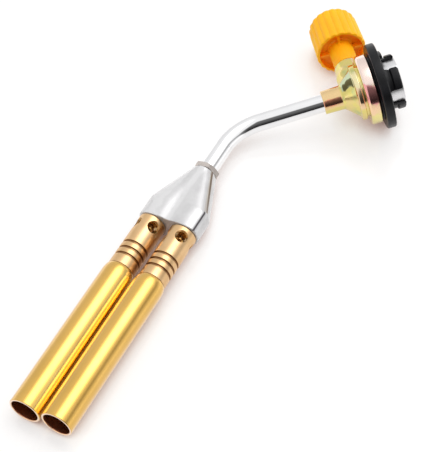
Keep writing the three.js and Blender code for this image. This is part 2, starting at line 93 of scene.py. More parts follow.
COUPLING = working_frame(ALONG, OUT, (0, 0, 0))
SPINDLE = working_frame(OUT, SIDE, (SPINDLE_X, 0, 0))
BEND = working_frame(BURNER_DOWN, SIDE, (NECK_APEX_X, 0, 0))
BURNERS = working_frame(BURNER_DOWN, BURNER_UP, (NECK_APEX_X, 0, 0))
BENCH = Matrix.Translation(ORIGIN) @ Matrix((ALONG, OUT, SIDE)).transposed().to_4x4() @ Matrix.Scale(MM, 4)
LEFT = BURNERS @ Matrix.Translation((0, BURNER_PITCH / 2, 0))
RIGHT = BURNERS @ Matrix.Translation((0, -BURNER_PITCH / 2, 0))

# ---- Camera ----
LOOK = bench(-0.03339, 0.69776, -0.71555)
CAMERA_RIGHT = bench(0.95743, -0.18307, -0.22320)
CAMERA_POINT = ORIGIN + MM * bench(-72.765, -610.524, 561.732)
FOCAL_PIXELS = 1604.85
IMAGE_WIDTH = 433


def add_camera():
    data = bpy.data.cameras.new("camera")
    data.sensor_fit = "HORIZONTAL"
    data.sensor_width = 36
    data.lens = FOCAL_PIXELS / IMAGE_WIDTH * data.sensor_width
    data.clip_end = 20
    camera = bpy.data.objects.new("camera", data)
    back = -LOOK.normalized()
    right = (CAMERA_RIGHT - back * CAMERA_RIGHT.dot(back)).normalized()
    turn = Matrix((right, back.cross(right), back)).transposed().to_4x4()
    camera.matrix_world = Matrix.Translation(CAMERA_POINT) @ turn
    bpy.context.scene.collection.objects.link(camera)
    bpy.context.scene.camera = camera


# ---- Node helpers ----
class Nodes:
    """A small helper that adds and links shader nodes."""

    def __init__(self, tree):
        self.tree = tree
        tree.nodes.clear()

    def add(self, kind, inputs=None, **settings):
        node = self.tree.nodes.new(kind)
        for name, value in settings.items():
            setattr(node, name, value)
        for key, value in (inputs or {}).items():
            self.set(node.inputs[key], value)
        return node

    def set(self, socket, value):
        if isinstance(value, bpy.types.NodeSocket):
            self.tree.links.new(value, socket)
        else:
            socket.default_value = value

    def math(self, operation, a, b=0.0, clamp=False):
        node = self.add("ShaderNodeMath", {0: a, 1: b}, operation=operation, use_clamp=clamp)
        return node.outputs[0]

    def scaled(self, vector, factors):
        node = self.add("ShaderNodeVectorMath", {0: vector, 1: factors}, operation="MULTIPLY")
        return node.outputs[0]

    def dot(self, vector, other):
        node = self.add("ShaderNodeVectorMath", {0: vector, 1: tuple(other)}, operation="DOT_PRODUCT")
        return node.outputs["Value"]

    def radius(self, point):
        """Distance from the piece's own axis."""
        across = self.scaled(point, (1.0, 1.0, 0.0))
        return self.add("ShaderNodeVectorMath", {0: across}, operation="LENGTH").outputs["Value"]

    def ramp(self, value, low, high, to_low=0.0, to_high=1.0, smooth=True):
        kind = "SMOOTHSTEP" if smooth else "LINEAR"
        inputs = {"Value": value, "From Min": low, "From Max": high, "To Min": to_low, "To Max": to_high}
        return self.add("ShaderNodeMapRange", inputs, interpolation_type=kind).outputs["Result"]

    def noise(self, vector, scale, detail=3.0, roughness=0.5):
        inputs = {"Vector": vector, "Scale": scale, "Detail": detail, "Roughness": roughness}
        return self.add("ShaderNodeTexNoise", inputs).outputs["Fac"]

    def noise_line(self, value, scale, detail=4.0, roughness=0.6):
        inputs = {"W": value, "Scale": scale, "Detail": detail, "Roughness": roughness}
        return self.add("ShaderNodeTexNoise", inputs, noise_dimensions="1D").outputs["Fac"]

    def mix(self, factor, a, b):
        node = self.add("ShaderNodeMix", {0: factor}, data_type="RGBA")
        for name, value in (("A_Color", a), ("B_Color", b)):
            socket = next(s for s in node.inputs if s.identifier == name)
            self.set(socket, (*value, 1.0) if isinstance(value, tuple) else value)
        return next(s for s in node.outputs if s.identifier == "Result_Color")


def millimetres(nodes, carried):
    """Texture coordinates in millimetres: along the piece's own axis, or the row's for a CAD node."""
    if carried:
        point = nodes.add("ShaderNodeTexCoord").outputs["Object"]
        return nodes.scaled(point, (1000.0,) * 3)
    return nodes.add("ShaderNodeAttribute", attribute_name="own_axis").outputs["Vector"]


def surface_marks(nodes, point, marks):
    """Height of the fine marks: turned rings, lengthwise brushing, or a moulded or cast grain."""
    if marks == "turned":
        along = nodes.dot(point, (0.0, 0.0, 1.0))
        return nodes.noise_line(nodes.math("ADD", along, nodes.radius(point)), 5.0, 6.0, 0.75)
    if marks == "brushed":
        return nodes.noise(nodes.scaled(point, (6.0, 6.0, 0.12)), 1.0, 4.0, 0.7)
    return nodes.noise(point, 2.6, 4.0, 0.6)


FAR = 1000  # millimetres: no bound on that side of a zone
UNEVEN = 0.25  # how far the patches push a zone's edge round the piece
OTHER_PATCHES = (31.0, 7.0, 19.0)  # a shift, so the third tone's patches differ from the second's


def zone(
    color,
    stations=(-FAR, FAR),
    radii=(-FAR, FAR),
    heights=(-FAR, FAR),
    facing=None,
    share=1.0,
    edge=0.3,
):
    """A part of a piece with a tone of its own, used for real tints and also for painted reflections,
    highlights and shade, in the piece's own millimetres and degrees.

    stations run along its axis, radii about it and heights along its local X. facing is the angle about the
    axis, the half width and the softness of its edge.
    """
    ranges = (stations, radii, heights)
    return {"color": color, "ranges": ranges, "facing": facing, "share": share, "edge": edge}


def zone_share(nodes, point, patches, area):
    """How far the zone's tone covers the piece, with a slightly uneven edge."""
    radius = nodes.radius(point)
    along = nodes.dot(point, (0.0, 0.0, 1.0))
    height = nodes.dot(point, (1.0, 0.0, 0.0))
    covered = area["share"]
    for value, (low, high) in zip((along, radius, height), area["ranges"]):
        for bound, sign in ((low, 1), (high, -1)):
            if abs(bound) < FAR:
                past = nodes.math("MULTIPLY", nodes.math("SUBTRACT", value, bound), sign)
                covered = nodes.math("MULTIPLY", covered, nodes.ramp(past, -area["edge"], area["edge"]))
    if area["facing"]:
        centre, half, soft = (math.radians(angle) for angle in area["facing"])
        toward = nodes.dot(point, (math.cos(centre), math.sin(centre), 0.0))
        cosine = nodes.math("DIVIDE", toward, nodes.math("MAXIMUM", radius, 0.01))
        uneven = nodes.math("MULTIPLY", nodes.math("SUBTRACT", patches, 0.5), UNEVEN)
        lean = nodes.math("ADD", cosine, uneven)
        covered = nodes.math("MULTIPLY", covered, nodes.ramp(lean, math.cos(half + soft), math.cos(half)))
    return covered


def finish(
    name,
    color,
    second,
    metallic=1.0,
    roughness=(0.15, 0.25),
    marks="turned",
    mark_depth=0.05,
    patch=0.12,
    third=None,
    carried=False,
    coat=0.0,
    subsurface=0.0,
    specular=0.5,
    zones=(),
):
    """A procedural material: two or three tones in soft patches, uneven gloss and fine marks.

    patch is the patches' frequency per millimetre. zones come from zone(), and later ones lie on top; several
    of them are painted reflections, highlights and shade.
    """
    material = bpy.data.materials.new(name)
    material.use_nodes = True
    nodes = Nodes(material.node_tree)
    point = millimetres(nodes, carried)
    patches = nodes.noise(point, patch, 4.0, 0.6)
    shade = nodes.mix(nodes.ramp(patches, 0.35, 0.68), color, second)
    if third:
        shifted = nodes.add("ShaderNodeVectorMath", {0: point, 1: OTHER_PATCHES}, operation="ADD")
        elsewhere = nodes.noise(shifted.outputs[0], patch, 2.0)
        shade = nodes.mix(nodes.ramp(elsewhere, 0.5, 0.72), shade, third)
    for area in zones:
        shade = nodes.mix(zone_share(nodes, point, patches, area), shade, area["color"])
    height = surface_marks(nodes, point, marks)
    specks = nodes.noise(point, 1.1, 5.0, 0.7)
    gloss = nodes.math("ADD", nodes.math("MULTIPLY", height, 0.5), nodes.math("MULTIPLY", specks, 0.5))
    bump = nodes.add("ShaderNodeBump", {"Height": height, "Strength": mark_depth, "Distance": 0.0002})
    shader = nodes.add(
        "ShaderNodeBsdfPrincipled",
        {
            "Base Color": shade,
            "Metallic": metallic,
            "Roughness": nodes.ramp(gloss, 0.3, 0.7, *roughness),
            "Normal": bump.outputs["Normal"],
            "Coat Weight": coat,
            "Coat Roughness": 0.16,
            "Specular IOR Level": specular,
            "Subsurface Weight": subsurface,
            "Subsurface Radius": (1.0, 0.35, 0.08),
            "Subsurface Scale": 0.002,
        },
    )
    output = nodes.add("ShaderNodeOutputMaterial")
    nodes.set(output.inputs["Surface"], shader.outputs["BSDF"])
    return material


# ---- Mesh helpers, all in local millimetres ----
def mesh_from(bm):
    bmesh.ops.remove_doubles(bm, verts=bm.verts, dist=1e-4)
    bmesh.ops.recalc_face_normals(bm, faces=bm.faces)
    mesh = bpy.data.meshes.new("shape")
    bm.to_mesh(mesh)
    bm.free()
    return mesh


def rounded(outline, closed, steps=5):
    """Outline points, with a corner's third number taken as its edge radius."""
    points = [Vector(p[:2]) for p in outline]
    smooth = []
    for i, point in enumerate(points):
        radius = outline[i][2] if len(outline[i]) > 2 else 0
        if radius == 0 or (not closed and i in (0, len(points) - 1)):
            smooth.append(point)
            continue
        before = points[i - 1] - point
        after = points[(i + 1) % len(points)] - point
        reach = min(radius, 0.48 * before.length, 0.48 * after.length)
        start, end = point + before.normalized() * reach, point + after.normalized() * reach
        for k in range(steps + 1):
            t = k / steps
            smooth.append(start * (1 - t) ** 2 + point * 2 * t * (1 - t) + end * t**2)
    return smooth


def revolve(outline, closed=True, sides=128, start=0.0, sweep=2 * math.pi):
    """Turned piece about local Z from [station, radius, edge radius] points."""
    section = rounded(outline, closed)
    whole = abs(sweep - 2 * math.pi) < 1e-6
    bm = bmesh.new()
    rows = []
    for i in range(sides if whole else sides + 1):
        angle = start + sweep * i / sides
        rows.append([bm.verts.new((p.y * math.cos(angle), p.y * math.sin(angle), p.x)) for p in section])
    count = len(section)
    for i in range(sides):
        row, after = rows[i], rows[(i + 1) % len(rows)]
        for k in range(count if closed else count - 1):
            n = (k + 1) % count
            corners = [row[k], row[n], after[n], after[k]]
            if section[k].y < 1e-6:
                corners = [row[k], row[n], after[n]]
            elif section[n].y < 1e-6:
                corners = [row[k], row[n], after[k]]
            bm.faces.new(corners)
    if not whole:
        bm.faces.new(rows[0])
        bm.faces.new(rows[-1])
    return mesh_from(bm)


def extrude(points, low, high):
    """A flat outline in local XY, drawn out along local Z."""
    bm = bmesh.new()
    rings = [[bm.verts.new((x, y, z)) for x, y in points] for z in (low, high)]
    bm.faces.new(rings[0])
    bm.faces.new(rings[1])
    count = len(points)
    for i in range(count):
        n = (i + 1) % count
        bm.faces.new([rings[0][i], rings[0][n], rings[1][n], rings[1][i]])
    return mesh_from(bm)


def loft(rings):
    """A closed solid through rings of points, capped at both ends."""
    bm = bmesh.new()
    rows = [[bm.verts.new(p) for p in ring] for ring in rings]
    count = len(rows[0])
    for row, after in zip(rows, rows[1:]):
        for i in range(count):
            n = (i + 1) % count
            bm.faces.new([row[i], row[n], after[n], after[i]])
    bm.faces.new(rows[0])
    bm.faces.new(rows[-1])
    return mesh_from(bm)


def moved(mesh, matrix):
    mesh.transform(matrix)
    return mesh


def combined(base, tools, operation="UNION", bevel=0.0):
    """A boolean of closed meshes, worked out and kept as one mesh."""
    made = []
    for mesh in (base, *tools):
        obj = bpy.data.objects.new("work", mesh)
        bpy.context.scene.collection.objects.link(obj)
        made.append(obj)
    for tool in made[1:]:
        step = made[0].modifiers.new("step", "BOOLEAN")
        step.operation = operation
        step.solver = "EXACT"
        step.object = tool
    if bevel:
        edge = made[0].modifiers.new("edge", "BEVEL")
        edge.width = bevel
        edge.segments = 3
        edge.limit_method = "ANGLE"
        edge.angle_limit = math.radians(40)
    bpy.context.view_layer.update()
    graph = bpy.context.evaluated_depsgraph_get()
    result = bpy.data.meshes.new_from_object(made[0].evaluated_get(graph))
    for obj in made:
        bpy.data.objects.remove(obj)
    return result


SHARP_EDGE = math.radians(33)


def add_piece(node, mesh, place, material, mirrored=False):
    """Shades the finished mesh, sets it in the row frame and lets it stand for its CAD node.

    mirrored turns the tones over in local Y, so that a pair of pieces faces each other and each barrel's
    painted reflection of its neighbour lies on the side towards it.
    """
    across = -1 if mirrored else 1
    mesh.shade_smooth()
    mesh.set_sharp_from_angle(angle=SHARP_EDGE)
    own = mesh.attributes.new("own_axis", "FLOAT_VECTOR", "POINT")
    own.data.foreach_set("vector", [c for v in mesh.vertices for c in (v.co.x, across * v.co.y, v.co.z)])
    mesh.transform(place)
    mesh.materials.clear()
    mesh.materials.append(material)
    piece = bpy.data.objects.new(node + "_finished", mesh)
    bpy.context.scene.collection.objects.link(piece)
    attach(piece, BODY_OF[node])
    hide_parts(node)
    return piece


# ---- Coupling ----
CLAW_CENTRES = [math.radians(41.5 + 90 * i) for i in range(4)]


def claw(centre):
    """A hooked claw: wide at its root, narrower at the lip."""
    section = rounded(
        [
            (3.4, 12.35),
            (3.4, 14.0, 0.5),
            (4.8, 13.4, 0.6),
            (6.5, 13.4, 0.4),
            (6.9, 14.25, 0.4),
            (10.4, 14.25, 0.7),
            (11, 13.2, 0.4),
            (11, 12.35, 0.3),
        ],
        True,
    )
    rings = []
    steps = 16
    for i in range(steps + 1):
        share = 2 * i / steps - 1
        ring = []
        for point in section:
            root = max(0.0, (7 - point.x) / 3.6)
            tip = max(0.0, (point.x - 9.5) / 1.5)
            half = math.radians(24 + 4 * root**2 - 3 * tip**2)
            angle = centre + share * half
            ring.append((point.y * math.cos(angle), point.y * math.sin(angle), point.x))
        rings.append(ring)
    return loft(rings)


def bayonet_flange():
    disc = revolve(
        [
            (-2.3, 10.35),
            (-2.3, 16.5, 0.2),
            (-1.5, 16.5),
            (-1.5, 22.35, 1.0),
            (3.2, 22.35, 0.8),
            (3.2, 17.8, 0.2),
            (3.8, 17.6, 0.3),
            (3.8, 12.35),
            (3.2, 12.35),
            (3.2, 10.35),
        ],
        sides=180,
    )
    lug = revolve(
        [(2.9, 15.3), (2.9, 17.4), (5.3, 17.4, 0.7), (5.3, 15.3, 0.7)],
        sides=14,
        start=math.radians(53 - 27),
        sweep=math.radians(54),
    )
    return combined(disc, [claw(c) for c in CLAW_CENTRES] + [lug])


def coupling_sleeve():
    return revolve(
        [
            (-3, 7, 0.3),
            (-3, 8.6, 0.3),
            (3.5, 8.6),
            (3.5, 12, 0.2),
            (11.3, 12, 0.5),
            (11.3, 9.3, 0.5),
            (4.8, 9.3, 0.2),
            (4.8, 7, 0.2),
        ]
    )


def inlet_probe():
    return revolve(
        [
            (-2.6, 0.6),
            (-2.6, 6.5),
            (-0.6, 6.5, 0.2),
            (-0.6, 3.2, 0.2),
            (1.2, 3.2, 0.2),
            (1.8, 2, 0.2),
            (9, 2, 0.4),
            (10.2, 1.2, 0.3),
            (10.2, 0.6, 0.1),
        ],
        sides=48,
    )


# ---- Valve body ----
def valve_body():
    turned_body = revolve(
        [
            (-20, 0),
            (-20, 4.95),
            (-29.7, 4.95, 0.2),
            (-29.7, 6.1, 0.4),
            (-19.4, 6.3, 1.2),
            (-12.8, 12.5, 0.3),
            (-12.4, 14.5, 0.4),
            (-9.9, 14.75, 0.5),
            (-9.9, 13.4, 0.2),
            (-8.5, 13.4, 0.2),
            (-8.5, 17.5, 0.3),
            (-7.7, 18.2, 0.5),
            (-3.1, 18.2, 0.5),
            (-2.6, 17.5, 0.2),
            (-2.6, 0),
        ],
        closed=False,
        sides=160,
    )
    to_spindle = COUPLING.inverted() @ SPINDLE
    boss = revolve(
        [
            (0, 0),
            (0, 7.2),
            (9.5, 7.6, 2.0),
            (12, 8.1, 2.0),
            (15, 7.5, 1.5),
            (20, 7.25, 0.6),
            (20, 5.5, 0.1),
            (15.2, 5.5),
            (15.2, 0),
        ],
        closed=False,
        sides=96,
    )
    return combined(turned_body, [moved(boss, to_spindle)])


# ---- Neck ----
NECK_OUTSIDE, NECK_INSIDE = 4.78, 3.3
BEND_RADIUS, BEND_STEPS = 28, 32


def neck_tube():
    """Swept along the valve socket, the bend and into the manifold."""
    tangent = BEND_RADIUS * math.tan(NECK_ANGLE / 2)
    centre = Vector((NECK_APEX_X + tangent, -BEND_RADIUS, 0))
    path = []
    for x in (-20.5, -24, -29.6, -35, -45, -55):
        path.append((Vector((x, 0, 0)), 0.0))
    for i in range(BEND_STEPS + 1):
        turn = NECK_ANGLE * i / BEND_STEPS
        rim = Vector((-math.sin(turn), math.cos(turn), 0)) * BEND_RADIUS
        path.append((centre + rim, turn))
    down = Vector((-math.cos(NECK_ANGLE), -math.sin(NECK_ANGLE), 0))
    apex = Vector((NECK_APEX_X, 0, 0))
    for station in (20, 26, 32, 40.9):
        path.append((apex + down * station, NECK_ANGLE))

    def skin(radius, sides=72):
        rings = []
        for point, turn in path:
            normal = Vector((-math.sin(turn), math.cos(turn), 0))
            ring = []
            for k in range(sides):
                angle = 2 * math.pi * k / sides
                offset = normal * math.cos(angle) + Vector((0, 0, 1)) * math.sin(angle)
                ring.append(point + offset * radius)
            rings.append(ring)
        return rings

    bm = bmesh.new()
    outer = [[bm.verts.new(p) for p in ring] for ring in skin(NECK_OUTSIDE)]
    inner = [[bm.verts.new(p) for p in ring] for ring in skin(NECK_INSIDE)]
    count = len(outer[0])
    for rows in (outer, inner):
        for row, after in zip(rows, rows[1:]):
            for i in range(count):
                n = (i + 1) % count
                bm.faces.new([row[i], row[n], after[n], after[i]])
    for end in (0, -1):
        for i in range(count):
            n = (i + 1) % count
            bm.faces.new([outer[end][i], outer[end][n], inner[end][n], inner[end][i]])
    return mesh_from(bm)


def hexagon(flats):
    corner = flats / math.sqrt(3)
    angles = [math.pi / 6 + i * math.pi / 3 for i in range(6)]
    return [(corner * math.cos(angle), corner * math.sin(angle)) for angle in angles]


def lock_nut():
    flats, start, end = 12.6, 30.2, 33
    corner = flats / math.sqrt(3)
    face = flats / 2 + 0.1
    chamfers = revolve(
        [
            (start, 4.95, 0.2),
            (start, face, 0.1),
            (start + 0.45, corner),
            (end - 0.35, corner),
            (end, face, 0.1),
            (end, 4.95, 0.2),
        ],
        sides=96,
    )
    return combined(chamfers, [extrude(hexagon(flats), start - 1, end + 1)], "INTERSECT")


# ---- Manifold ----
NECK_END_RADIUS, LOBE_RADIUS = 6.55, 7.85
LOBE_SPLIT = 3.2  # how sharply the section parts into two lobes
WAIST_DEPTH, WAIST_WIDTH = 0.9, 3.6
LIP_DROP, LIP_LENGTH = 0.45, 0.5


def manifold():
    """Round at the neck, parting into two lobes over the burners."""
    start, shoulder, end = 33.3, 59, 71
    sides, steps = 160, 64
    rings = []
    stations = [start + (end - start) * i / steps for i in range(steps)]
    stations += [end - 0.5, end - 0.2, end - 0.05, end]
    for station in sorted(stations):
        spread = min((station - start) / (shoulder - start), 1)
        ease = spread + 0.02 * math.sin(math.pi * spread)
        into_lip = max(0.0, (station - end + LIP_LENGTH) / LIP_LENGTH)
        lip = LIP_DROP * (1 - math.sqrt(max(0.0, 1 - into_lip**2)))
        radius = NECK_END_RADIUS + (LOBE_RADIUS - NECK_END_RADIUS) * ease - lip
        ring = []
        for i in range(sides):
            angle = 2 * math.pi * i / sides
            unit_across, unit_up = math.sin(angle), math.cos(angle)
            parting = math.tanh(LOBE_SPLIT * unit_across) / math.tanh(LOBE_SPLIT)
            lobe = BURNER_PITCH / 2 * spread * parting
            across = lobe + radius * unit_across
            waist = WAIST_DEPTH * spread * math.exp(-((across / WAIST_WIDTH) ** 2))
            flat_up = math.copysign(abs(unit_up) ** (1 - 0.2 * spread), unit_up)
            ring.append(((radius - waist) * flat_up, across, station))
        rings.append(ring)
    pockets = []
    for side in (-1, 1):
        pocket = revolve([(61.7, 0), (61.7, 5.75), (72, 5.75), (72, 0)], closed=False, sides=64)
        pockets.append(moved(pocket, Matrix.Translation((0, side * BURNER_PITCH / 2, 0))))
    socket = revolve([(32, 0), (32, 4.95), (42.5, 4.95), (42.5, 0)], closed=False, sides=64)
    return combined(loft(rings), pockets + [socket], "DIFFERENCE")


# ---- Burners ----
AIR_HOLE = 76.8
GROOVES = (89.6, 93.5, 97.4)


def air_hole(clocking):
    """A drilled hole with a broken outer edge, standing on local X before it is turned."""
    tool = revolve(
        [(3, 0), (3, 3.25), (6.75, 3.25), (7.5, 3.75), (8.5, 3.75), (8.5, 0)], closed=False, sides=48
    )
    lay = Matrix.Rotation(math.pi / 2, 4, "Y")
    return moved(tool, Matrix.Translation((0, 0, AIR_HOLE)) @ Matrix.Rotation(clocking, 4, "Z") @ lay)


def mixing_tube(clocking):
    outline = [(64.5, 4.1), (64.5, 5.6, 0.3), (71.3, 5.6), (71.3, 7.2, 0.5), (72.6, 7.2), (72.9, 7.12)]
    for groove in GROOVES:
        outline += [
            (groove - 0.7, 7.15, 0.2),
            (groove - 0.6, 6.25, 0.2),
            (groove + 0.6, 6.25, 0.2),
            (groove + 0.7, 7.15, 0.2),
        ]
    outline += [
        (103.3, 7.15, 0.2),
        (103.3, 6.65),
        (112, 6.65, 0.2),
        (112, 4.6, 0.2),
        (86.5, 3.6, 2),
        (81.5, 5.2, 1),
        (71.5, 5.2, 1),
        (70.5, 4.1, 0.5),
    ]
    holes = [air_hole(clocking + i * math.pi / 2) for i in range(4)]
    return combined(revolve(outline, sides=160), holes, "DIFFERENCE")


def burner_barrel():
    return revolve(
        [
            (103.6, 6.9, 0.1),
            (103.6, 7.3, 0.3),
            (104.8, 7.72, 0.8),
            (107.2, 8.05, 1.2),
            (125, 8.08),
            (150, 8.08),
            (175, 8.08),
            (191.25, 8.08, 0.5),
            (191.25, 7.0, 0.35),
            (190.4, 6.9, 0.4),
            (150, 6.9),
        ],
        sides=160,
    )


def gas_jet():
    return revolve(
        [
            (58, 0.5),
            (58, 1.6, 0.2),
            (62.9, 1.6),
            (62.9, 3.2, 0.3),
            (65.9, 3.2, 0.4),
            (66.4, 2.1, 0.3),
            (75.8, 2.1, 0.3),
            (76.8, 0.9, 0.1),
            (76.8, 0.5),
        ],
        sides=48,
    )


# ---- Knob ----
KNOB_START, KNOB_FLOOR, KNOB_END = 33.5, 37, 57
KNOB_TIP = 54  # where the outer edge starts to round over
SKIRT_TOP, SKIRT_ROWS = 34.2, 26
SKIRT_RADIUS, SKIRT_TAPER = 13.42, 0.58
FLUTE_COUNT, FLUTE_STEPS, FLUTE_DEPTH = 20, 12, 0.6


def knob_outline():
    """[station, radius, flute share] from the bore, round the recess and skirt, to the end's centre."""
    bore = [(46.3, 0.0, 0), (46.3, 2.45, 0), (20.7, 2.45, 0)]
    hub = [(20.5, 2.7, 0), (20.5, 6.1, 0), (20.9, 6.5, 0), (28, 6.5, 0), (KNOB_FLOOR - 0.6, 6.5, 0)]
    recess = [(KNOB_FLOOR, 7.1, 0), (KNOB_FLOOR, 11.05, 0), (KNOB_FLOOR - 0.5, 11.55, 0), (34, 11.6, 0)]
    rim = [(33.6, 11.75, 0), (KNOB_START, 12.0, 0.2), (33.52, 12.7, 0.6), (33.75, 13.2, 0.9)]
    skirt = []
    for i in range(SKIRT_ROWS + 1):
        share = i / SKIRT_ROWS
        station = SKIRT_TOP + (KNOB_END - 0.02 - SKIRT_TOP) * (1 - (1 - share) ** 1.7)
        past = max(0.0, (station - KNOB_TIP) / (KNOB_END - KNOB_TIP))
        taper = SKIRT_TAPER * (station - KNOB_START) / (KNOB_END - KNOB_START)
        radius = (SKIRT_RADIUS - taper) * (1 - 0.2 * past**2.6)
        skirt.append((station, radius, 1 - past**2))
    end = [(KNOB_END, 9.9, 0), (56.9, 9.3, 0), (56.5, 8.9, 0), (56.4, 8, 0), (56.4, 0.0, 0)]
    return bore + hub + recess + rim + skirt + end


def knob():
    outline = knob_outline()
    sides = FLUTE_COUNT * FLUTE_STEPS
    bm = bmesh.new()
    columns = []
    for i in range(sides):
        angle = 2 * math.pi * i / sides
        scallop = abs(math.sin(FLUTE_COUNT * angle / 2))
        column = []
        for station, radius, share in outline:
            reach = radius - FLUTE_DEPTH * share * (1 - scallop)
            column.append(bm.verts.new((reach * math.cos(angle), reach * math.sin(angle), station)))
        columns.append(column)
    last = len(outline) - 1
    for i in range(sides):
        column, after = columns[i], columns[(i + 1) % sides]
        for k in range(last):
            if k == 0:
                bm.faces.new([column[0], column[1], after[1]])
            elif k == last - 1:
                bm.faces.new([column[k], column[last], after[k]])
            else:
                bm.faces.new([column[k], column[k + 1], after[k + 1], after[k]])
    grip = mesh_from(bm)
    webs = []
    for i in range(4):
        web = extrude([(6.2, -0.75), (11.8, -0.75), (11.8, 0.75), (6.2, 0.75)], 34.3, 37.5)
        webs.append(moved(web, Matrix.Rotation(i * math.pi / 2, 4, "Z")))
    return combined(grip, webs)


# ---- Looks ----
POLISHED_BRASS = finish(
    "polished_brass",
    (0.75, 0.445, 0.09),
    (0.71, 0.42, 0.075),
    roughness=(0.18, 0.26),
    marks="brushed",
    mark_depth=0.03,
    patch=0.05,
    coat=0.9,
    zones=(
        # Painted reflection: a brighter amber on each barrel's side towards its neighbour stands in for the
        # neighbour's reflection.
        zone((1.0, 0.72, 0.22), facing=(-90, 30, 25)),
        # Painted highlight: a pale pinkish-white line round the mouth's rim.
        zone((0.95, 0.70, 0.52), stations=(190.9, FAR), radii=(7.1, 7.85), edge=0.1),
        # Painted bounce light: the bore is a lighter, rosier brass so that its shaded inside comes out
        # brighter.
        zone((0.88, 0.48, 0.28), radii=(-FAR, 7.05), edge=0.08),
    ),
)
ROSE_BRASS = finish(
    "rose_brass",
    (0.76, 0.51, 0.27),
    (0.70, 0.45, 0.22),
    roughness=(0.27, 0.38),
    mark_depth=0.12,
    patch=0.09,
    zones=(
        # Painted shade: the floors of the grooves are a dark brown.
        zone((0.36, 0.20, 0.09), stations=(88, 99), radii=(6.0, 6.85), edge=0.15),
        # Painted light: the bore behind the air holes is a pale brass so that it comes out lit through the
        # holes.
        zone((1.0, 0.80, 0.50), radii=(-FAR, 6.75), stations=(70, 86), edge=0.15),
    ),
)
TURNED_BRASS = finish(
    "turned_brass", (0.80, 0.50, 0.18), (0.62, 0.34, 0.12), roughness=(0.2, 0.34), mark_depth=0.12
)
YELLOW_ZINC = finish(
    "yellow_zinc",
    (0.76, 0.66, 0.20),
    (0.80, 0.62, 0.28),
    third=(0.56, 0.58, 0.24),
    roughness=(0.10, 0.20),
    mark_depth=0.06,
    patch=0.16,
    zones=(
        # The socket's salmon tone and the wide ring's pink tone are the plating's own tints. The facing zones
        # on top of them are painted light, each set where a reflection or highlight falls in one view.
        zone((0.86, 0.60, 0.32), stations=(-31, -20.0), share=0.85),
        # Painted dark reflection: a red tint where the maroon band falls on the socket.
        zone((0.98, 0.40, 0.24), stations=(-31, -20.0), facing=(148, 12, 7), share=0.9),
        zone((0.76, 0.68, 0.20), stations=(-31, -20.0), facing=(205, 18, 12), share=0.8),
        zone((0.50, 0.60, 0.40), stations=(-19.0, -12.9), facing=(88, 24, 10), share=0.9),
        # Painted reflection of the boss: a near-black patch on the cone beside it.
        zone((0.09, 0.07, 0.02), stations=(-18.4, -13.0), facing=(108, 9, 6), share=0.95),
        # Painted highlight: a pale patch on the step ring.
        zone((0.90, 0.80, 0.50), stations=(-12.8, -9.6), facing=(112, 16, 10), share=0.8),
        zone((0.92, 0.62, 0.42), stations=(-12.8, -9.6), facing=(155, 18, 8), share=0.8),
        zone((0.93, 0.64, 0.42), stations=(-8.8, 0), radii=(15, FAR), share=0.9),
        # Painted highlight: a pale pink-white patch on the wide ring.
        zone((0.95, 0.78, 0.72), stations=(-8.8, 0), radii=(15, FAR), facing=(98, 32, 10), share=0.9),
        # Painted dark reflection: a red tint where the dark band falls on the wide ring.
        zone((1.00, 0.40, 0.40), stations=(-8.8, 0), radii=(15, FAR), facing=(147, 13, 5), share=0.9),
        zone((0.80, 0.72, 0.28), stations=(-8.8, 0), radii=(15, FAR), facing=(205, 15, 12), share=0.9),
    ),
)
CHROME = finish(
    "neck_chrome",
    (0.90, 0.90, 0.905),
    (0.87, 0.87, 0.88),
    roughness=(0.03, 0.06),
    marks="cast",
    mark_depth=0.01,
)
NICKEL = finish("nut_nickel", (0.68, 0.62, 0.58), (0.56, 0.50, 0.46), roughness=(0.14, 0.26), mark_depth=0.05)
PALE_METAL = finish(
    "coupling_nickel", (0.80, 0.80, 0.81), (0.70, 0.70, 0.71), roughness=(0.25, 0.38), mark_depth=0.12
)
ALUMINIUM = finish(
    "satin_aluminium",
    (0.66, 0.655, 0.66),
    (0.57, 0.565, 0.57),
    metallic=0.4,
    roughness=(0.17, 0.24),
    marks="brushed",
    mark_depth=0.06,
    patch=0.08,
    zones=(
        # Painted reflections: two dark lines along the side of the right lobe.
        zone(
            (0.19, 0.14, 0.11),
            stations=(30, 57.8),
            heights=(3.65, 4.7),
            facing=(-68, 16, 10),
            share=0.9,
            edge=0.2,
        ),
        zone(
            (0.04, 0.03, 0.04),
            stations=(58.3, 71),
            heights=(5.05, 5.75),
            facing=(-70, 16, 10),
            share=0.9,
            edge=0.2,
        ),
        # Painted highlights: lighter lengthwise streaks, facing up and at 48 degrees.
        zone((0.74, 0.735, 0.74), facing=(0, 7, 12), share=0.8),
        zone((0.74, 0.735, 0.74), facing=(48, 5, 10), share=0.8),
    ),
)
BLACK = finish(
    "black_plastic",
    (0.006, 0.006, 0.007),
    (0.012, 0.012, 0.014),
    metallic=0.0,
    roughness=(0.3, 0.42),
    marks="cast",
    mark_depth=0.08,
    specular=0.22,
)
ORANGE = finish(
    "orange_plastic",
    (1.0, 0.50, 0.006),
    (1.0, 0.45, 0.004),
    metallic=0.0,
    roughness=(0.42, 0.52),
    marks="cast",
    mark_depth=0.06,
    patch=0.06,
    subsurface=0.35,
    specular=0.25,
    zones=(
        # Painted coloured shade: a deeper red-orange in the recess under the skirt and, below, a deeper
        # orange on the hub and in its bore.
        zone((1.0, 0.34, 0.0), stations=(30, 37.3), radii=(6.7, 11.9)),
        zone((1.0, 0.42, 0.002), stations=(0, 36.8), radii=(-FAR, 6.8)),
    ),
)
RUBBER = finish(
    "black_rubber",
    (0.02, 0.02, 0.02),
    (0.035, 0.035, 0.035),
    metallic=0.0,
    roughness=(0.6, 0.8),
    marks="cast",
    carried=True,
)
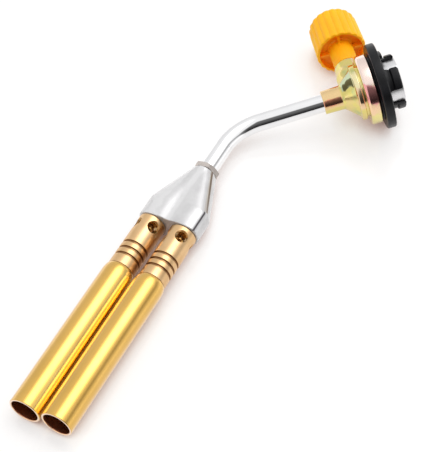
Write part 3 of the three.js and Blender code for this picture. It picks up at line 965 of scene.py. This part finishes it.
FIBRE = finish(
    "red_fibre",
    (0.30, 0.10, 0.05),
    (0.20, 0.07, 0.04),
    metallic=0.0,
    roughness=(0.7, 0.9),
    marks="cast",
    mark_depth=0.3,
    carried=True,
)
STEEL = finish(
    "plain_steel", (0.50, 0.50, 0.51), (0.36, 0.35, 0.34), roughness=(0.3, 0.45), marks="cast", carried=True
)
BRONZE = finish(
    "sintered_bronze",
    (0.45, 0.28, 0.14),
    (0.28, 0.17, 0.09),
    roughness=(0.55, 0.8),
    marks="cast",
    mark_depth=0.8,
    carried=True,
)
GLAND_BRASS = finish(
    "gland_brass", (0.80, 0.52, 0.20), (0.64, 0.38, 0.14), roughness=(0.2, 0.34), marks="cast", carried=True
)
CARRIED = {
    "inlet_seal": RUBBER,
    "spindle_oring": RUBBER,
    "neck_seal": FIBRE,
    "jet_washer_left": FIBRE,
    "jet_washer_right": FIBRE,
    "flame_holder_left": STEEL,
    "flame_holder_right": STEEL,
    "valve_spindle": STEEL,
    "inlet_filter": BRONZE,
    "gland_nut": GLAND_BRASS,
}


def dress_carried_nodes():
    for node, material in CARRIED.items():
        materials = frame["nodes"][node].data.materials
        for i in range(len(materials)):
            materials[i] = material
        if not materials:
            materials.append(material)


def add_pieces():
    add_piece("bayonet_flange", bayonet_flange(), COUPLING, BLACK)
    add_piece("coupling_sleeve", coupling_sleeve(), COUPLING, PALE_METAL)
    add_piece("inlet_probe", inlet_probe(), COUPLING, TURNED_BRASS)
    add_piece("valve_body", valve_body(), COUPLING, YELLOW_ZINC)
    add_piece("neck_tube", neck_tube(), BENCH, CHROME)
    add_piece("lock_nut", lock_nut(), BEND, NICKEL)
    add_piece("manifold", manifold(), BURNERS, ALUMINIUM)
    clockings = {"left": math.radians(51), "right": math.radians(65)}
    for side, place in (("left", LEFT), ("right", RIGHT)):
        add_piece(f"gas_jet_{side}", gas_jet(), place, TURNED_BRASS)
        mirrored = side == "right"
        add_piece(f"mixing_tube_{side}", mixing_tube(clockings[side]), place, ROSE_BRASS, mirrored)
        add_piece(f"burner_barrel_{side}", burner_barrel(), place, POLISHED_BRASS, mirrored)
    add_piece("knob", knob(), SPINDLE, ORANGE)


# ---- Floor and light ----
FLOOR_GAP = 0.0001
SHADOW_REACH = 0.016  # metres: pieces nearer than this darken the floor's own light


def add_floor():
    """A pale floor with some light of its own, which fades where a piece stands close over it."""
    bm = bmesh.new()
    reach, count = 3.0, 12
    for i in range(count):
        angle = 2 * math.pi * i / count
        bm.verts.new((reach * math.cos(angle), reach * math.sin(angle), cad_low.z - FLOOR_GAP))
    bm.faces.new(bm.verts)
    mesh = bpy.data.meshes.new("floor")
    bm.to_mesh(mesh)
    bm.free()
    material = bpy.data.materials.new("floor")
    material.use_nodes = True
    nodes = Nodes(material.node_tree)
    point = nodes.add("ShaderNodeTexCoord").outputs["Object"]
    soft = nodes.noise(point, 4.0, 2.0)
    open_sky = nodes.add("ShaderNodeAmbientOcclusion", {"Distance": SHADOW_REACH}, samples=8).outputs["AO"]
    clear = nodes.ramp(open_sky, 0.05, 0.6, smooth=False)
    shader = nodes.add(
        "ShaderNodeBsdfPrincipled",
        {
            "Base Color": nodes.mix(soft, (0.34, 0.34, 0.34), (0.36, 0.36, 0.36)),
            "Roughness": 0.18,
            "Specular IOR Level": 0.5,
            # Painted light: the floor's glow dims to a warm brown where pieces stand close, a painted contact
            # shadow with a painted warm bounce from the brass.
            "Emission Color": nodes.mix(clear, (1.0, 0.50, 0.34), (1.0, 0.98, 0.97)),
            "Emission Strength": nodes.ramp(clear, 0.0, 1.0, 0.10, 0.62, smooth=False),
        },
    )
    output = nodes.add("ShaderNodeOutputMaterial")
    nodes.set(output.inputs["Surface"], shader.outputs["BSDF"])
    mesh.materials.append(material)
    floor = bpy.data.objects.new("floor", mesh)
    bpy.context.scene.collection.objects.link(floor)


# The light, in degrees of the row frame. Four numbers are two bounds, then the value at each.
BRIGHTEST = Vector((0.42, -0.17, 0.88)).normalized()
CAMERA_SIDE = (0.5, -0.866, 0)
PANEL_TOP = (-148, -88, 62, 28)
PANEL_FOOT = (-115, -85, -8, 12)
PANEL_DEPTH = (-115, -65, 1.0, 0.4)
PANEL_FADE = (8, 50, 0.97, 0.84)
TOP_EDGE, FOOT_EDGE = (-7, 6), (-3, 3)
PANEL_START, PANEL_END = (-172, -158), (-46, -32, 1.0, 0.0)
STRIP_START, STRIP_HEIGHT, STRIP_EDGE = (-100, -85), 23, (3.0, 6.5, 0.55, 0.0)


def dark_panel(nodes, ray):
    """How much a tall dark panel hides: it narrows to a low strip as it comes round to the camera's side."""
    split = nodes.add("ShaderNodeSeparateXYZ", {"Vector": ray}).outputs
    azimuth = nodes.math("DEGREES", nodes.math("ARCTAN2", split["Y"], split["X"]))
    elevation = nodes.math("DEGREES", nodes.math("ARCSINE", split["Z"]))
    top = nodes.ramp(azimuth, *PANEL_TOP, smooth=False)
    foot = nodes.ramp(azimuth, *PANEL_FOOT)
    under_top = nodes.ramp(nodes.math("SUBTRACT", top, elevation), *TOP_EDGE)
    over_foot = nodes.ramp(nodes.math("SUBTRACT", elevation, foot), *FOOT_EDGE)
    before_end = nodes.ramp(azimuth, *PANEL_END)
    inside = nodes.math("MULTIPLY", nodes.math("MULTIPLY", under_top, over_foot), before_end)
    inside = nodes.math("MULTIPLY", inside, nodes.ramp(azimuth, *PANEL_START))
    depth = nodes.math("MULTIPLY", nodes.ramp(azimuth, *PANEL_DEPTH), nodes.ramp(elevation, *PANEL_FADE))
    panel = nodes.math("MULTIPLY", inside, depth)
    from_strip = nodes.math("ABSOLUTE", nodes.math("SUBTRACT", elevation, STRIP_HEIGHT))
    strip = nodes.math("MULTIPLY", nodes.ramp(from_strip, *STRIP_EDGE), nodes.ramp(azimuth, *STRIP_START))
    return nodes.math("MAXIMUM", panel, nodes.math("MULTIPLY", strip, before_end))


HIGHLIGHT, HIGHLIGHT_SHAPE = 2.7, 1.5
BACKDROP = 1.1


def add_light_tent():
    """A white tent with one broad bright area overhead and a dark panel. The camera sees plain white."""
    world = bpy.data.worlds.new("tent")
    bpy.context.scene.world = world
    world.use_nodes = True
    nodes = Nodes(world.node_tree)
    ray = nodes.add("ShaderNodeTexCoord").outputs["Generated"]
    wall = nodes.ramp(nodes.dot(ray, (0, 0, 1)), 0.4, 0.9, 0.86, 1.0)
    side = nodes.ramp(nodes.dot(ray, CAMERA_SIDE), 0.3, 0.9, 0.0, 0.12)
    near_bright = nodes.ramp(nodes.dot(ray, BRIGHTEST), 0.85, 0.985, smooth=False)
    bright = nodes.math("MULTIPLY", nodes.math("POWER", near_bright, HIGHLIGHT_SHAPE), HIGHLIGHT)
    lit = nodes.math("ADD", nodes.math("ADD", wall, side), bright)
    shaded = nodes.math("MULTIPLY", lit, nodes.math("SUBTRACT", 1.0, dark_panel(nodes, ray)))
    seen = nodes.add("ShaderNodeLightPath").outputs["Is Camera Ray"]
    strength = nodes.add("ShaderNodeMix", {0: seen}, data_type="FLOAT")
    nodes.set(strength.inputs["A"], shaded)
    nodes.set(strength.inputs["B"], BACKDROP)
    background = nodes.add("ShaderNodeBackground", {"Color": (1, 1, 1, 1)})
    nodes.set(background.inputs["Strength"], strength.outputs[0])
    output = nodes.add("ShaderNodeOutputWorld")
    nodes.set(output.inputs["Surface"], background.outputs["Background"])
    bpy.context.scene.view_settings.view_transform = "Standard"


add_camera()
dress_carried_nodes()
add_pieces()
add_floor()
add_light_tent()
